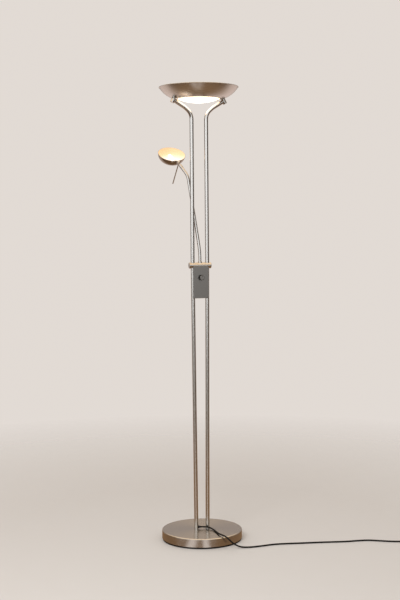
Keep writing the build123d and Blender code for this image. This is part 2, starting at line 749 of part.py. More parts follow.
def glass_clips():
    """Four flat clips over the flange of the glass."""
    low = BOWL_FLOOR + BOWL_WALL + GLASS_THICK
    clip = box((86, 101), (-4.5, 4.5), (low, low + 1.0))
    clip = fillet(clip.edges().filter_by(Axis.Z), 2.0)
    clip -= disc(1.55, low - 5, low + 5, CLIP_SCREW_R)
    return group(Rot(0, 0, angle) * clip for angle in CLIP_ANGLES)


def clip_screws():
    """The screws of the glass clips, with their heads under the bowl."""
    seat = bowl_z(CLIP_SCREW_R - 3.2) - 0.05
    head = disc(3.0, seat - 1.8, seat, CLIP_SCREW_R)
    head = fillet(head.edges().group_by(Axis.Z)[0], 1.0)
    screw = head + disc(1.5, seat - 1, 1760.3, CLIP_SCREW_R)
    return group(Rot(0, 0, angle) * screw for angle in CLIP_ANGLES)


def bowl_stud(side):
    """A stud between the end of a pole and the bowl, hollow for the lead."""
    stud = rod(on_stud(side, -STUD_FOOT), on_stud(side, 14), STUD_RADIUS)
    stud = chamfer(stud.faces().filter_by(GeomType.PLANE).sort_by(Axis.Z)[0].edges(), 0.8)
    stud -= bowl_outside()
    stud -= rod(on_stud(side, 0), on_stud(side, 20), 4.0)
    centre = on_stud(side, 0)
    stud -= Pos(*centre) * Sphere(5.2)
    towards = Vector(side * UPPER_BEND[0], 0, UPPER_BEND[1])
    return stud - rod(centre, towards, 4.05)


def top_nipple(side):
    """The hollow spigot between the end of a pole and its stud."""
    centre = on_stud(side, 0)
    along = (Vector(side * UPPER_BEND[0], 0, UPPER_BEND[1]) - centre).normalized()
    nipple = rod(centre + along * 9.2, centre + along * 23, POLE_BORE - 0.05)
    nipple += rod(centre + along * 5.6, centre + along * 12, 4.0)
    return nipple - rod(centre, centre + along * 30, 2.4)


def bowl_nipple(side):
    """The hollow threaded tube that fixes the bowl on a stud."""
    return rod(on_stud(side, 5.6), on_stud(side, 24.5), 3.95, 2.2)


def bowl_washer(side):
    """A washer shaped to the inside of the bowl, flat on top for the bracket."""
    washer = rod(on_stud(side, 4), on_stud(side, BRACKET_SEAT), 9.0, 4.1)
    return washer & bowl_inside()


def bowl_nut(side):
    """The nut that holds the bracket and the bowl on a stud."""
    low = BRACKET_SEAT + BRACKET_THICK
    return hexagon(13.0, on_stud(side, low), on_stud(side, low + 5.0), 4.0)


def lamp_bracket():
    """The steel strip across the bowl that carries the lamp sockets."""
    half = BRACKET_WIDTH / 2
    level = (BRACKET_Z, BRACKET_Z + BRACKET_THICK)
    bracket = box((-BRACKET_HALF, BRACKET_HALF), (-half, half), level)
    for side in SIDES.values():
        seat = on_stud(side, BRACKET_SEAT)
        up = (on_stud(side, BRACKET_SEAT + 1) - seat).normalized()
        place = Plane(origin=seat, x_dir=(side * up.Z, 0, -side * up.X), z_dir=up).location
        pad = place * Box(BRACKET_PAD, BRACKET_WIDTH, BRACKET_THICK, align=BOTTOM)
        bracket += pad - rod(seat, on_stud(side, 30), 4.1)
        bracket -= rod(on_stud(side, 0), on_stud(side, 30), 4.1)
    return bracket & bowl_inside()


def lamp_sockets():
    """Two ceramic end sockets for the lamp tube."""
    floor = BRACKET_Z + BRACKET_THICK
    face = LAMP_HALF - 2.0
    sockets = []
    for side in SIDES.values():
        block = box((face, face + 15), (-8.5, 8.5), (floor, LAMP_Z + 8))
        block = chamfer(block.edges().filter_by(Axis.X), 2.0)
        block -= rod((face - 1, 0, LAMP_Z), (LAMP_HALF + 0.1, 0, LAMP_Z), 4.0)
        sockets.append(block if side > 0 else mirror(block, about=Plane.YZ))
    return group(sockets)


def halogen_tube():
    """The double-ended halogen lamp."""
    lamp = rod((-47, 0, LAMP_Z), (47, 0, LAMP_Z), 5.0)
    lamp = fillet(lamp.faces().filter_by(GeomType.PLANE).edges(), 3.0)
    return lamp + rod((-LAMP_HALF, 0, LAMP_Z), (LAMP_HALF, 0, LAMP_Z), 3.5)


# ---------------------------------------------------------------- reading arm
def in_arm_plane(reach, z):
    """A point of the arm's upright plane, at a distance from the lamp's axis."""
    angle = radians(ARM_AZIMUTH)
    return Vector(reach * cos(angle), reach * sin(angle), z)


def arm_end(along):
    """A point on the line of the arm's end, measured from its upper bend."""
    lean = radians(ARM_END_LEAN)
    reach = ARM_HIGH_BEND[0] + along * sin(lean)
    return in_arm_plane(reach, ARM_HIGH_BEND[1] + along * cos(lean))


def arm_path(start, end):
    """The arm's centreline, from a height to a point on the line of its end."""
    points = [in_arm_plane(0, start), in_arm_plane(*ARM_LOW_BEND), in_arm_plane(*ARM_HIGH_BEND)]
    return FilletPolyline(*points, arm_end(end), radius=ARM_BEND_RADII)


def reading_arm():
    """The thin bent tube that carries the reading head."""
    return sweep_round(arm_path(ARM_START, ARM_TUBE_REACH), ARM_RADIUS, ARM_BORE)


def arm_swivel_stem():
    """The hollow threaded stem that turns in the bridge bar."""
    return disc(STEM_RADIUS, 1079.5, 1116) - disc(STEM_BORE, 1070, 1120)


def arm_collar():
    """The collar around the foot of the arm."""
    collar = ring(7.6, ARM_RADIUS + 0.02, BRIDGE_SEAT_TOP + 0.9, BRIDGE_SEAT_TOP + 7.5)
    return chamfer(collar.edges().group_by(Axis.Z)[-1].sort_by(SortBy.RADIUS)[-1], 0.8)


def swivel_washers():
    """The nylon washer above the bar and the spring washer below it."""
    above = ring(7.8, STEM_RADIUS + 0.15, BRIDGE_SEAT_TOP + 0.1, BRIDGE_SEAT_TOP + 0.9)
    below = ring(7.8, STEM_RADIUS + 0.15, SWIVEL_POCKET_TOP - 1.2, SWIVEL_POCKET_TOP - 0.1)
    return group([above, below])


def arm_swivel_nut():
    """The nut that sets the friction of the swivel, inside the bridge bar."""
    high = SWIVEL_POCKET_TOP - 1.2
    return hexagon(14.0, (0, 0, high - 5.0), (0, 0, high), STEM_RADIUS + 0.03)


def arm_end_stud():
    """The plug in the arm's end, with the round stud that the head turns on."""
    end = ARM_TUBE_REACH
    stud = rod(arm_end(end - 13), arm_end(end), ARM_BORE - 0.05)
    stud += rod(arm_end(end - 1), arm_end(end + STUD_END), 3.5)
    stud -= rod(arm_end(GROOVE_LOW), arm_end(GROOVE_HIGH), 5.0, 2.7)
    return stud - rod(arm_end(end - 20), arm_end(end + 20), 1.7)


# ---------------------------------------------------------------- reading head
def arm_line():
    """The direction of the arm's end."""
    return (arm_end(1) - arm_end(0)).normalized()


def tilt_axis():
    """The direction of the tilt pin, square to the arm's end."""
    along = arm_line()
    return (TILT_PIN - along * TILT_PIN.dot(along)).normalized()


def pivot():
    """The centre of the tilt joint."""
    return arm_end(PIVOT_REACH)


def shade_plane():
    """The shade's rim plane: x runs from the joint to its centre, z out of its mouth."""
    out = (SHADE_REACHES - SHADE_FACES * SHADE_REACHES.dot(SHADE_FACES)).normalized()
    centre = pivot() + out * SHADE_OUT + SHADE_FACES * SHADE_UP
    return Plane(origin=centre, x_dir=out, z_dir=SHADE_FACES)


def shade_wall(inset):
    """The shade's outline from its crown to its rim, at a depth inside its outer face: an arc
    centred on its axis, and a tighter one that meets it without a corner."""
    crown, side = SHADE_CROWN - inset, SHADE_SIDE - inset
    knee = radians(SHADE_KNEE)
    crown_z = SHADE_CROWN - SHADE_DEPTH
    side_x = (SHADE_CROWN - SHADE_SIDE) * sin(knee)
    side_z = crown_z - (SHADE_CROWN - SHADE_SIDE) * cos(knee)
    rim = acos(side_z / side)

    def on_crown(angle):
        return (crown * sin(angle), crown_z - crown * cos(angle))

    def on_side(angle):
        return (side_x + side * sin(angle), side_z - side * cos(angle))

    return [
        ThreePointArc(on_crown(0), on_crown(knee / 2), on_crown(knee)),
        ThreePointArc(on_side(knee), on_side((knee + rim) / 2), on_side(rim)),
    ]


def shade_solid(inset=0.0):
    """Everything inside the shade's wall, up to the rim plane."""
    wall = shade_wall(inset)
    rim = wall[-1] @ 1
    return turned(*wall, Polyline(tuple(rim), (0, rim.Y), tuple(wall[0] @ 0)))


def head_shell():
    """The pressed shade of the reading light with a rolled rim."""
    outer, inner = shade_wall(0), shade_wall(SHADE_WALL)
    out_x, in_x = (outer[-1] @ 1).X, (inner[-1] @ 1).X
    bead = ThreePointArc((out_x, 0), (out_x + 0.7, 1.2), (in_x, 1.8))
    lip = Line((in_x, 1.8), (in_x, 0))
    pole = Line(outer[0] @ 0, inner[0] @ 0)
    return shade_plane().location * turned(*outer, bead, lip, *inner, pole)


def head_sleeve():
    """The sleeve that turns on the arm's end, with one cheek of the tilt joint."""
    start = ARM_TUBE_REACH + 0.3
    top = PIVOT_REACH - NECK_LENGTH
    pin = tilt_axis()
    sleeve = rod(arm_end(start), arm_end(top), CHEEK_RADIUS)
    sleeve = chamfer(sleeve.faces().filter_by(GeomType.PLANE).edges(), 0.6)
    far = JOINT_GAP + CHEEK_THICK
    place = Plane(origin=pivot() - pin * far, x_dir=-arm_line(), z_dir=pin).location
    neck = Box(NECK_LENGTH + 1, NECK_WIDTH, CHEEK_THICK, align=(Align.MIN, Align.CENTER, Align.MIN))
    cheek = rod(pivot() - pin * far, pivot() - pin * JOINT_GAP, CHEEK_RADIUS)
    sleeve += place * neck + cheek
    sleeve -= rod(arm_end(start - 1), arm_end(ARM_TUBE_REACH + STUD_END + 0.4), 3.56)
    sleeve -= rod(pivot() - pin * 12, pivot() + pin * 12, 2.02)
    return sleeve - grub_bar(9.0, 1.5)


def grub_bar(outer, radius):
    """The bar of the sleeve's grub screw, square to the arm's end."""
    centre = arm_end((GROOVE_LOW + GROOVE_HIGH) / 2)
    across = arm_line().cross(tilt_axis())
    return rod(centre + across * 2.8, centre + across * outer, radius)


def sleeve_grub_screw():
    """The grub screw that keeps the sleeve on the arm's stud."""
    return grub_bar(6.2, 1.42)


def head_pivot_screw():
    """The screw that the head tilts on, fixed in the cheek."""
    pin = tilt_axis()
    far = JOINT_GAP + CHEEK_THICK
    shank = rod(pivot() - pin * far, pivot() + pin * (far + 0.5), 2.0)
    head = rod(pivot() + pin * (far + 0.1), pivot() + pin * (far + 2.2), 3.6)
    head = fillet(head.faces().filter_by(GeomType.PLANE).sort_by(Axis.X)[-1].edges(), 0.9)
    slot = Plane(origin=pivot() + pin * (far + 1.5), x_dir=arm_line(), z_dir=pin).location
    return shank + head - slot * Box(9, 0.8, 2, align=BOTTOM)


def handle_root():
    """Where the handle leaves the lug's edge."""
    pin = tilt_axis()
    outward = (HANDLE_POINTS - pin * HANDLE_POINTS.dot(pin)).normalized()
    return pivot() + pin * (JOINT_GAP + CHEEK_THICK / 2) + outward * (CHEEK_RADIUS - 0.5)


def head_lug():
    """The flat lug on the shade that turns about the pivot screw, with room beside it for the
    handle."""
    pin = tilt_axis()
    low = pivot() + pin * JOINT_GAP
    high = low + pin * CHEEK_THICK
    towards = shade_plane().from_local_coords((-47.0, 0, -13.0)) - pivot()
    place = Plane(origin=low, x_dir=towards - pin * towards.dot(pin), z_dir=pin).location
    tongue = place * Box(30, 9, CHEEK_THICK, align=(Align.MIN, Align.CENTER, Align.MIN))
    lug = rod(low, high, CHEEK_RADIUS) + tongue
    lug -= shade_plane().location * shade_solid()
    root = handle_root()
    beside = rod(root, root + HANDLE_POINTS * 12, HANDLE_RADIUS + SPIGOT_GAP)
    lug -= beside - rod(low - pin, high + pin, CHEEK_RADIUS)
    lug -= rod(root - HANDLE_POINTS * 2, root + HANDLE_POINTS * 3, SPIGOT_RADIUS + SPIGOT_GAP)
    return lug - rod(low - pin, high + pin, 2.08)


def handle_rod():
    """The thin handle that the head is aimed with, its spigot set in the edge of the lug."""
    pin = tilt_axis()
    middle = pivot() + pin * (JOINT_GAP + CHEEK_THICK / 2)
    root = handle_root()
    end = root + HANDLE_POINTS * HANDLE_LENGTH
    handle = rod(root - HANDLE_POINTS * 2, end, HANDLE_RADIUS) + Pos(*end) * Sphere(HANDLE_RADIUS)
    handle -= rod(middle - pin * 8, middle + pin * 8, CHEEK_RADIUS + SPIGOT_GAP)
    return handle + rod(root - HANDLE_POINTS * 1.8, root + HANDLE_POINTS * 3, SPIGOT_RADIUS)


def head_socket():
    """The ceramic lamp socket on the inside of the shade."""
    shade = shade_plane().location
    socket = rod((-56, 0, -BULB_DEPTH), (-30, 0, -BULB_DEPTH), 9.0)
    socket = chamfer(socket.faces().filter_by(GeomType.PLANE).edges(), 1.2)
    socket &= shade_solid(SHADE_WALL)
    socket -= rod((-34, 0, -BULB_DEPTH), (-29, 0, -BULB_DEPTH), 7.1)
    return shade * socket


def reading_bulb():
    """The small capsule bulb with its glass foot in the socket."""
    tip = 13.0
    bulb = rod((-34, 0, -BULB_DEPTH), (tip, 0, -BULB_DEPTH), 6.9)
    bulb += Pos(tip, 0, -BULB_DEPTH) * Sphere(6.9)
    return shade_plane().location * bulb


# ---------------------------------------------------------------- output
NODES = {
    "base_tray": base_tray(),
    "base_weight": base_weight(),
    "base_cover": base_cover(),
    "base_bolts": pair(base_bolt),
    "base_washers": pair(base_washer),
    "foot_plugs": pair(foot_plug),
    "lower_tube_left": lower_tube(SIDES["left"]),
    "lower_tube_right": lower_tube(SIDES["right"]),
    "pole_joiners": pair(pole_joiner),
    "upper_tube_left": upper_tube(SIDES["left"]),
    "upper_tube_right": upper_tube(SIDES["right"]),
    "bridge_bar": bridge_bar(),
    "bridge_set_screws": bridge_set_screws(),
    "switch_housing": switch_housing(),
    "switch_cover": switch_cover(),
    "cover_screws": cover_screws(),
    "housing_screws": pair(housing_screw),
    "dimmer_potentiometer": dimmer_potentiometer(),
    "dimmer_bush_nut": dimmer_bush_nut(),
    "dimmer_board": dimmer_board(),
    "terminal_block": terminal_block(),
    "dimmer_shaft": dimmer_shaft(),
    "dimmer_knob": dimmer_knob(),
    "knob_cap": knob_cap(),
    "mains_lead": mains_lead(),
    "uplight_lead": uplight_lead(),
    "reading_lead": reading_lead(),
    "uplight_bowl": uplight_bowl(),
    "glass_diffuser": glass_diffuser(),
    "glass_clips": glass_clips(),
    "clip_screws": clip_screws(),
    "bowl_studs": pair(bowl_stud),
    "top_nipples": pair(top_nipple),
    "bowl_nipples": pair(bowl_nipple),
    "bowl_washers": pair(bowl_washer),
    "bowl_nuts": pair(bowl_nut),
    "lamp_bracket": lamp_bracket(),
    "lamp_sockets": lamp_sockets(),
    "halogen_tube": halogen_tube(),
    "reading_arm": reading_arm(),
    "arm_swivel_stem": arm_swivel_stem(),
    "arm_collar": arm_collar(),
    "swivel_washers": swivel_washers(),
    "arm_swivel_nut": arm_swivel_nut(),
    "arm_end_stud": arm_end_stud(),
    "head_sleeve": head_sleeve(),
    "sleeve_grub_screw": sleeve_grub_screw(),
    "head_pivot_screw": head_pivot_screw(),
    "head_lug": head_lug(),
    "handle_rod": handle_rod(),
    "head_shell": head_shell(),
    "head_socket": head_socket(),
    "reading_bulb": reading_bulb(),
    "cord_grommet": cord_grommet(),
    "cord": cord(),
    "cord_coil": cord_coil(),
    "cord_tie": cord_tie(),
    "plug_body": plug_body(),
    "plug_pins": plug_pins(),
}

os.makedirs("parts", exist_ok=True)
for name, solid in NODES.items():
    export_step(solid, f"parts/{name}.step")
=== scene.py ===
import json
from math import cos, pi, radians, sin

import bmesh
import bpy
from mathutils import Matrix, Vector


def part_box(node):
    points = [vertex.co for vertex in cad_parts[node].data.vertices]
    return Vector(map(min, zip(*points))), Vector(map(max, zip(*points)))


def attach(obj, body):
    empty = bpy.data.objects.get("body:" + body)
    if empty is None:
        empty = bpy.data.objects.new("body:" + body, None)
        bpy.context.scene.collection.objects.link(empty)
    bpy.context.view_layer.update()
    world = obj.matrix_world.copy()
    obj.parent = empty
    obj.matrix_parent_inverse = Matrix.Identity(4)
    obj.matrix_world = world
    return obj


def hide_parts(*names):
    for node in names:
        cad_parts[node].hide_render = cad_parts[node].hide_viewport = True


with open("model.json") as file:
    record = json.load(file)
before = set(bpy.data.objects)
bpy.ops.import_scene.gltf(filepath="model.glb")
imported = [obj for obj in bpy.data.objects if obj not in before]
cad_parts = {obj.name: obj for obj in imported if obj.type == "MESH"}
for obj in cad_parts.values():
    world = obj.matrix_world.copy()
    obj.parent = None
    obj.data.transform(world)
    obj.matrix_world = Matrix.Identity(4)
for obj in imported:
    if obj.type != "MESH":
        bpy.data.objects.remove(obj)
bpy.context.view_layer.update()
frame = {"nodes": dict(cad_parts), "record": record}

# A torchiere floor lamp with a dimmer box and a reading arm, in metres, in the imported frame.
nodes = frame["nodes"]
scene = bpy.context.scene

# Camera: it stands at the lamp's left front and is level, so the upright lines stay parallel, and the
# lens is shifted down rather than tilted.
CAMERA_TURN = 18.0
CAMERA_DISTANCE = 4.508
CAMERA_HEIGHT = 1.2326
CAMERA_ROLL = -0.45
CAMERA_LENS = 67.735
CAMERA_SHIFT = (0.0005, -0.1176)

# Cord: FOOT is on the left pole's axis at the height of the bush that the cord leaves by.
CORD_RADIUS = 0.003
GROMMET_REACH = 0.018
FOOT = Vector((-0.0235, 0.0, 0.0475))
FIRST_RUN = 0.017
COIL_CENTRE = (0.872, -0.036)
COIL_LAYERS = [(0.0362, 0.0042), (0.0300, 0.0042), (0.0300, 0.0098), (0.0362, 0.0098)]
COIL_POINTS = 16
COIL_START = -90
PLUG_START = (0.908, -0.028, 0.007)
PLUG_LEAD_IN = 0.008
PLUG_LEAD_END = 0.001

# Dimmer knob, with its outline as radius, height and how deep the ribs are there
KNOB_BACK = -0.0144
KNOB_HEIGHT = 1.041
KNOB_RIBS = 36
KNOB_RIB_DEPTH = 0.0005
KNOB_OUTLINE = [
    (0.0080, 0.0050, 0), (0.0080, 0.0, 0), (0.0099, 0.0, 0), (0.0104, 0.0006, 1),
    (0.0104, 0.0114, 1), (0.0098, 0.0129, 1), (0.0093, 0.0131, 0), (0.0090, 0.0129, 0),
    (0.0090, 0.0121, 0),
]
POINTER_FOOT = 0.0128
POINTER_TOP = 0.0138
POINTER_SPAN = (0.0022, 0.0080)
POINTER_HALF = 0.0007
POINTER_BEVEL = (0.0003, 0.0002)

# Finishes: the grains are texture scales along x, y and z, so a small one draws the grain out.
NICKEL = (0.60, 0.575, 0.545)
UPRIGHT = (900, 900, 25)
CROSSWISE = (25, 900, 900)
EVEN = (900, 900, 900)
SPUN_RINGS = 900.0
GRAIN_DEPTH = 0.0001
PAINT_DEPTH = 0.0003
BLACKS = ("black_plastic", "rubber", "cord_sheath", "black_steel")
BLACK_SPECULAR = 0.15

# Glow of the lit lamps, from the middle outwards
GLASS_RADIUS = 0.091
BOWL_GLOW = [(0.0, (1.0, 0.96, 0.88)), (0.7, (1.0, 0.90, 0.72)), (0.95, (1.0, 0.66, 0.34))]
# The reading bulb's light on the shade's lining is painted as a glow, white near the bulb and peach
# further out.
SHADE_REACH = 0.07
PAINTED_SHADE_LIGHT = [(0.58, (1.0, 0.96, 0.90)), (0.76, (0.88, 0.60, 0.33)), (1.0, (0.62, 0.36, 0.16))]
BULB_GLOW = [(0.0, (1.0, 0.84, 0.58)), (1.0, (1.0, 0.90, 0.72))]

# Studio: the ramps give a colour for each share of a direction or height, from 0 to 1.
FLOOR_COLOUR = (0.62, 0.61, 0.60)
# Painted reflection of the floor: glossy rays see a glow as brown as boards, with two painted patches
# of daylight placed round the lamp (start, full, fading, end).
PAINTED_REFLECTED_FLOOR = (0.30, 0.175, 0.09)
PAINTED_DAYLIGHT = (0.95, 0.82, 0.74)
PAINTED_DAYLIGHT_PLACES = [(0.115, 0.135, 0.155, 0.18), (0.198, 0.212, 0.226, 0.245)]
FLOOR_FADE = 0.9
FLOOR_END = 3.0
FLOOR_DEPTH = 0.0002
BACKGROUND_COLOUR = (0.76, 0.705, 0.66)
CEILING_COLOUR = (1.5, 1.15, 0.78)
CEILING_SHARES = [(0.70, (0, 0, 0)), (0.80, (1, 1, 1))]
UPPER_WALLS = [
    (0.0, (0.43, 0.37, 0.335)), (0.25, (0.36, 0.31, 0.28)), (0.42, (0.10, 0.085, 0.075)),
    (0.70, (0.09, 0.078, 0.068)), (1.0, (0.20, 0.185, 0.17)),
]
LOWER_WALLS = [
    (0.0, (0.88, 0.71, 0.64)), (0.25, (0.80, 0.64, 0.56)), (0.42, (0.14, 0.09, 0.06)),
    (1.0, (0.18, 0.11, 0.065)),
]
EYE_LEVEL = [(0.40, (0, 0, 0)), (0.50, (1, 1, 1))]
WINDOW_TURN = 37.0
WINDOW_REACH = [(0.735, (0, 0, 0)), (0.82, (1, 1, 1))]
WINDOW_COLOURS = [
    (0.38, (0.12, 0.075, 0.04)), (0.42, (0.28, 0.25, 0.21)), (0.466, (0.36, 0.35, 0.33)),
    (0.480, (1.55, 1.59, 1.63)), (0.56, (1.55, 1.59, 1.63)), (0.62, (1.1, 1.1, 1.1)),
]
LIGHT_PLACE = (-2.0, -2.6, 2.6)
LIGHT_TARGET = (0, 0, 0.5)
LIGHT_SIZE = 1.6
LIGHT_POWER = 75
LIGHT_COLOUR = (1.0, 0.99, 0.97)


# ---------------------------------------------------------------- camera
def add_camera():
    """The level camera, a little rolled, at the front left."""
    data = bpy.data.cameras.new("camera")
    data.lens = CAMERA_LENS
    data.sensor_width = 36.0
    data.shift_x, data.shift_y = CAMERA_SHIFT
    data.clip_end = 50.0
    camera = bpy.data.objects.new("camera", data)
    scene.collection.objects.link(camera)
    turn = Matrix.Rotation(radians(-CAMERA_TURN), 4, "Z")
    level = Matrix.Rotation(radians(90), 4, "X")
    roll = Matrix.Rotation(radians(CAMERA_ROLL), 4, "Z")
    place = turn @ Vector((0, -CAMERA_DISTANCE, CAMERA_HEIGHT))
    camera.matrix_world = Matrix.Translation(place) @ turn @ level @ roll
    scene.camera = camera


# ---------------------------------------------------------------- cord
def cord_direction():
    """The direction in which the cord leaves the left pole."""
    return Vector((cos(radians(CAMERA_TURN)), -sin(radians(CAMERA_TURN)), 0))


def from_room(x, y, z):
    """A point given along and to the left of the cord's exit, in the lamp's frame."""
    along = cord_direction()
    across = Vector((-along.y, along.x, 0))
    return along * x + across * y + Vector((0, 0, z))


# The cord's way from its bush over the base and along the floor, in metres.
CORD_ROUTE = [
    (0.0310, -0.0130, 0.0455),
    (0.0450, -0.0320, 0.0428),
    (0.0550, -0.0600, 0.0422),
    (0.0630, -0.0900, 0.0426),
    (0.0740, -0.1200, 0.0460),
    (0.0940, -0.1470, 0.0445),
    (0.1180, -0.1530, 0.0210),
    (0.1460, -0.1460, 0.0042),
    (0.1840, -0.1460, 0.0031),
    (0.2320, -0.1280, 0.0031),
    (0.2800, -0.1060, 0.0031),
    (0.3320, -0.0980, 0.0031),
    (0.3900, -0.0930, 0.0031),
    (0.4500, -0.0850, 0.0031),
    (0.5100, -0.0800, 0.0031),
    (0.5660, -0.0760, 0.0031),
    (0.6140, -0.0640, 0.0031),
    (0.6560, -0.0580, 0.0031),
    (0.7000, -0.0690, 0.0031),
    (0.7450, -0.0800, 0.0031),
    (0.7960, -0.0810, 0.0031),
    (0.8420, -0.0745, 0.0035),
]


def coil_points():
    """The spare cord: two turns side by side and two more on top of them, and out to the plug."""
    points = []
    steps = COIL_POINTS * len(COIL_LAYERS) + 4
    for step in range(steps):
        angle = radians(COIL_START) + 2 * pi * step / COIL_POINTS
        turn, share = divmod(step, COIL_POINTS)
        here = COIL_LAYERS[min(turn, len(COIL_LAYERS) - 1)]
        after = COIL_LAYERS[min(turn + 1, len(COIL_LAYERS) - 1)]
        change = max(0.0, (share / COIL_POINTS - 0.75) * 4)
        radius = here[0] + (after[0] - here[0]) * change
        height = here[1] + (after[1] - here[1]) * change
        x = COIL_CENTRE[0] + radius * cos(angle)
        y = COIL_CENTRE[1] + radius * sin(angle)
        points.append((x, y, height))
    return points


def add_cord():
    """The mains cord as one curve, from the bush in the pole to the plug."""
    exit_point = FOOT + cord_direction() * GROMMET_REACH
    points = [exit_point, exit_point + cord_direction() * FIRST_RUN]
    points += [from_room(*point) for point in CORD_ROUTE + coil_points()]
    plug = from_room(*PLUG_START)
    ahead = from_room(0, 1, 0)
    points += [plug - ahead * PLUG_LEAD_IN, plug + ahead * PLUG_LEAD_END]
    curve = bpy.data.curves.new("mains_cord", "CURVE")
    curve.dimensions = "3D"
    spline = curve.splines.new("NURBS")
    spline.points.add(len(points) - 1)
    for point, place in zip(spline.points, points):
        point.co = (*place, 1.0)
        point.radius = CORD_RADIUS
    spline.order_u = 3
    spline.use_endpoint_u = True
    curve.resolution_u = 12
    curve.bevel_depth = 1.0
    curve.bevel_resolution = 6
    cord = bpy.data.objects.new("mains_cord", curve)
    scene.collection.objects.link(cord)
    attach(cord, "stand")
    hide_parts("cord", "cord_coil")
    return cord


add_camera()
mains_cord = add_cord()


# ---------------------------------------------------------------- materials
class Shader:
    """A new material's node tree, with short ways to add and join nodes."""

    def __init__(self, name):
        self.material = bpy.data.materials.new(name)
        self.material.use_nodes = True
        self.tree = self.material.node_tree
        self.tree.nodes.clear()
        self.output = self.add("ShaderNodeOutputMaterial")
        self.surface = self.add("ShaderNodeBsdfPrincipled")
        self.join(self.surface.outputs[0], self.output.inputs["Surface"])

    def add(self, kind, **settings):
        """A new node with its settings."""
        node = self.tree.nodes.new(kind)
        for key, value in settings.items():
            setattr(node, key, value)
        return node

    def join(self, output, target):
        """Links an output to an input."""
        self.tree.links.new(output, target)

    def set(self, **values):
        """Sets the shader's own sockets by name."""
        for key, value in values.items():
            self.surface.inputs[key.replace("_", " ")].default_value = value

    def object_point(self, scale=(1, 1, 1)):
        """Object coordinates, stretched by a scale along each axis."""
        coords = self.add("ShaderNodeTexCoord")
        mapping = self.add("ShaderNodeMapping")
        mapping.inputs["Scale"].default_value = scale
        self.join(coords.outputs["Object"], mapping.inputs["Vector"])
        return mapping.outputs[0]

    def from_axis(self):
        """The distance from the lamp's axis, in metres."""
        radius = self.add("ShaderNodeVectorMath", operation="LENGTH")
        self.join(self.object_point((1, 1, 0)), radius.inputs[0])
        return radius.outputs["Value"]

    def noise(self, vector, scale, detail=4.0):
        """A noise texture's number at a point."""
        node = self.add("ShaderNodeTexNoise")
        node.inputs["Scale"].default_value = scale
        node.inputs["Detail"].default_value = detail
        node.inputs["Roughness"].default_value = 0.6
        self.join(vector, node.inputs["Vector"])
        return node.outputs["Fac"]

    def rings(self):
        """Fine rings around the lamp's axis."""
        node = self.add("ShaderNodeTexNoise", noise_dimensions="1D")
        node.inputs["Scale"].default_value = SPUN_RINGS
        node.inputs["Detail"].default_value = 5.0
        node.inputs["Roughness"].default_value = 0.8
        self.join(self.from_axis(), node.inputs["W"])
        return node.outputs["Fac"]

    def spread(self, value, low, high, start=0.3, end=0.7):
        """A number spread from one range to another."""
        node = self.add("ShaderNodeMapRange")
        node.inputs["From Min"].default_value = start
        node.inputs["From Max"].default_value = end
        node.inputs["To Min"].default_value = low
        node.inputs["To Max"].default_value = high
        self.join(value, node.inputs["Value"])
        return node.outputs[0]

    def sum(self, first, share, second):
        """The first number times a share, plus the second number."""
        node = self.add("ShaderNodeMath", operation="MULTIPLY_ADD")
        self.join(first, node.inputs[0])
        node.inputs[1].default_value = share
        self.join(second, node.inputs[2])
        return node.outputs[0]

    def colours(self, value, stops):
        """A colour ramp over a number."""
        node = self.add("ShaderNodeValToRGB")
        ramp = node.color_ramp
        while len(ramp.elements) < len(stops):
            ramp.elements.new(0.5)
        for element, (place, colour) in zip(ramp.elements, stops):
            element.position = place
            element.color = (*colour, 1)
        self.join(value, node.inputs["Fac"])
        return node.outputs["Color"]

    def bump(self, value, strength, distance):
        """Relief on the surface from a number."""
        node = self.add("ShaderNodeBump")
        node.inputs["Strength"].default_value = strength
        node.inputs["Distance"].default_value = distance
        self.join(value, node.inputs["Height"])
        self.join(node.outputs[0], self.surface.inputs["Normal"])


def tint(colour, factor):
    """A colour made lighter or darker."""
    return tuple(min(1.0, channel * factor) for channel in colour)


def metal(shader, colour, roughness, texture, relief):
    """Bare metal whose gloss and colour follow a fine texture, with faint broad patches."""
    surface = shader.surface.inputs
    patches = shader.noise(shader.object_point(), 7.0, 3.0)
    mixed = shader.sum(texture, 0.7, shader.spread(patches, 0.08, 0.22))
    shader.set(Metallic=1.0)
    shader.join(shader.spread(mixed, roughness - 0.01, roughness + 0.02), surface["Roughness"])
    stops = [(0.2, tint(colour, 0.95)), (0.8, tint(colour, 1.04))]
    shader.join(shader.colours(mixed, stops), surface["Base Color"])
    shader.bump(texture, relief, GRAIN_DEPTH)


def brushed_metal(name, colour, roughness, grain, relief=0.01):
    """Metal brushed along one direction."""
    shader = Shader(name)
    texture = shader.noise(shader.object_point(grain), 1.0)
    metal(shader, colour, roughness, texture, relief)
    return shader


def spun_metal(name, colour, roughness):
    """Metal spun on a lathe, whose highlights are drawn out across its fine rings."""
    shader = Shader(name)
    metal(shader, colour, roughness, shader.rings(), 0.04)
    tangent = shader.add("ShaderNodeTangent", direction_type="RADIAL", axis="Z")
    shader.join(tangent.outputs[0], shader.surface.inputs["Tangent"])
    shader.set(Anisotropic=0.55, Anisotropic_Rotation=0.25)
    return shader


def painted(name, colour, roughness, grain=900.0, strength=0.15, unevenness=0.14):
    """Paint, plastic or rubber with a fine texture and a little unevenness."""
    shader = Shader(name)
    surface = shader.surface.inputs
    broad = shader.noise(shader.object_point(), 14.0, 3.0)
    stops = [(0.3, tint(colour, 1 - unevenness)), (0.75, tint(colour, 1 + unevenness))]
    shader.join(shader.colours(broad, stops), surface["Base Color"])
    shader.join(shader.spread(broad, roughness - 0.06, roughness + 0.08), surface["Roughness"])
    shader.bump(shader.noise(shader.object_point(), grain, 3.0), strength, PAINT_DEPTH)
    return shader


